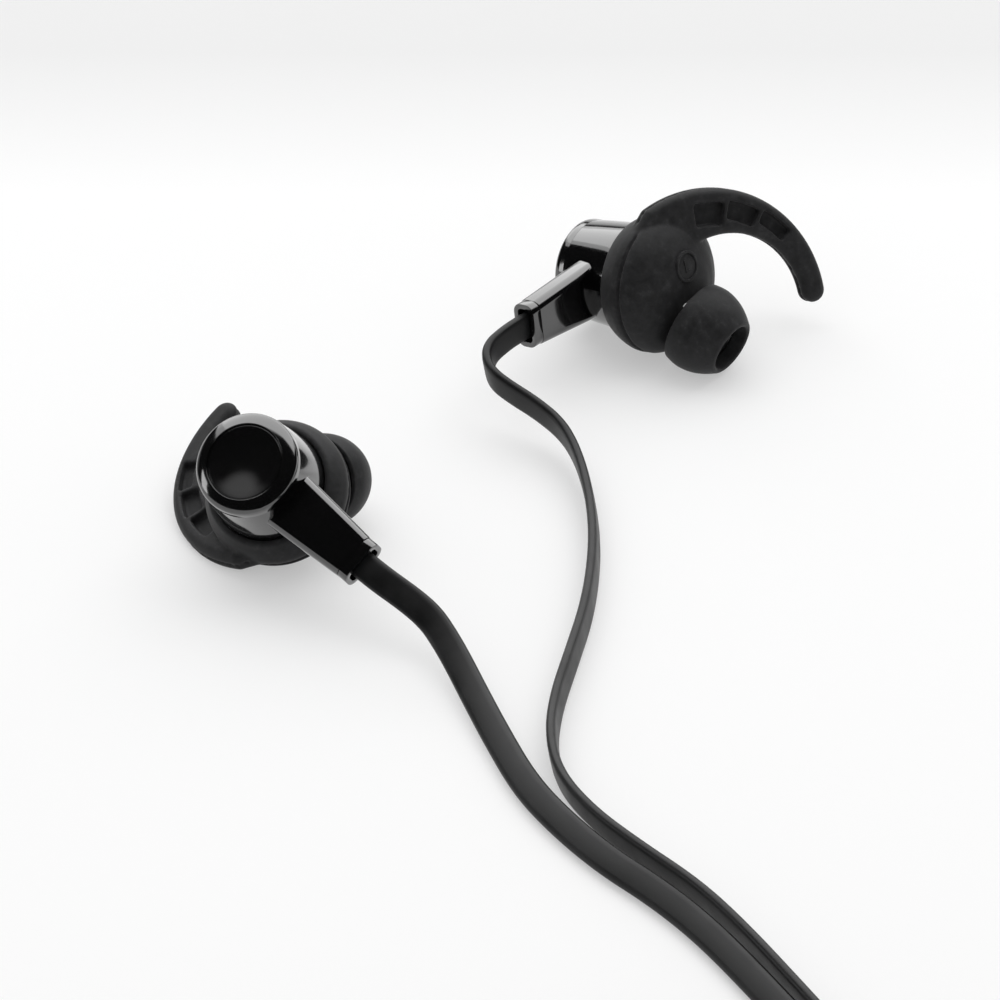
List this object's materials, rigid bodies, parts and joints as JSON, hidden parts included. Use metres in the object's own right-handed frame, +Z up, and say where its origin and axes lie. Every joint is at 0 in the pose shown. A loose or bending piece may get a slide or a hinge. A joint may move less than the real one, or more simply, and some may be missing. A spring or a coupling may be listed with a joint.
{
  "type": "wired earphones",
  "caption": "Wired in-ear sport earphones with soft fins, silicone ear tips that pull off, flat cords, a splitter, a wound trunk cord and a jack plug.",
  "frame": {"origin": "on the surface that the earphones lie on, under the middle of the box round the two earphones without their cords", "axes": "+X to the right in the picture, +Y away from the viewer, +Z up from the surface"},
  "size_m": [0.0875, 0.2146, 0.0194],
  "materials": {
    "housing_plastic": "polished black",
    "silicone": "matte black silicone",
    "cord_rubber": "satin black flat cord",
    "furniture_plastic": "satin black",
    "steel_mesh": "woven mesh",
    "driver_metal": "plain",
    "plated_brass": "gold plated"
  },
  "bodies": {
    "earphones": {"right_back_cap": "housing_plastic", "right_rear_housing": "housing_plastic", "right_front_housing": "housing_plastic", "right_cord_collar": "housing_plastic", "right_fin_sleeve": "silicone", "right_nozzle_mesh": "steel_mesh", "right_driver_frame": "driver_metal", "right_driver_magnet": "driver_metal", "right_branch_cord": "cord_rubber", "left_back_cap": "housing_plastic", "left_rear_housing": "housing_plastic", "left_front_housing": "housing_plastic", "left_cord_collar": "housing_plastic", "left_fin_sleeve": "silicone", "left_nozzle_mesh": "steel_mesh", "left_driver_frame": "driver_metal", "left_driver_magnet": "driver_metal", "left_branch_cord": "cord_rubber", "splitter_bottom": "furniture_plastic", "splitter_top": "furniture_plastic", "trunk_lead_in": "cord_rubber", "trunk_coil": "cord_rubber", "trunk_tail": "cord_rubber", "cord_tie": "silicone", "plug_strain_relief": "cord_rubber", "plug_grip": "furniture_plastic", "plug_sleeve_contact": "plated_brass", "plug_ring_contact": "plated_brass", "plug_tip_contact": "plated_brass", "plug_insulators": "furniture_plastic"},
    "right_tip": {"right_ear_tip": "silicone"},
    "left_tip": {"left_ear_tip": "silicone"}
  },
  "joints": [
    {"name": "right_tip_pull", "type": "slide", "parent": "earphones", "child": "right_tip", "axis": [0.5107, 0.7567, -0.408], "range_m": [0, 0.009]},
    {"name": "left_tip_pull", "type": "slide", "parent": "earphones", "child": "left_tip", "axis": [0.7646, -0.5924, -0.2537], "range_m": [0, 0.009]}
  ]
}
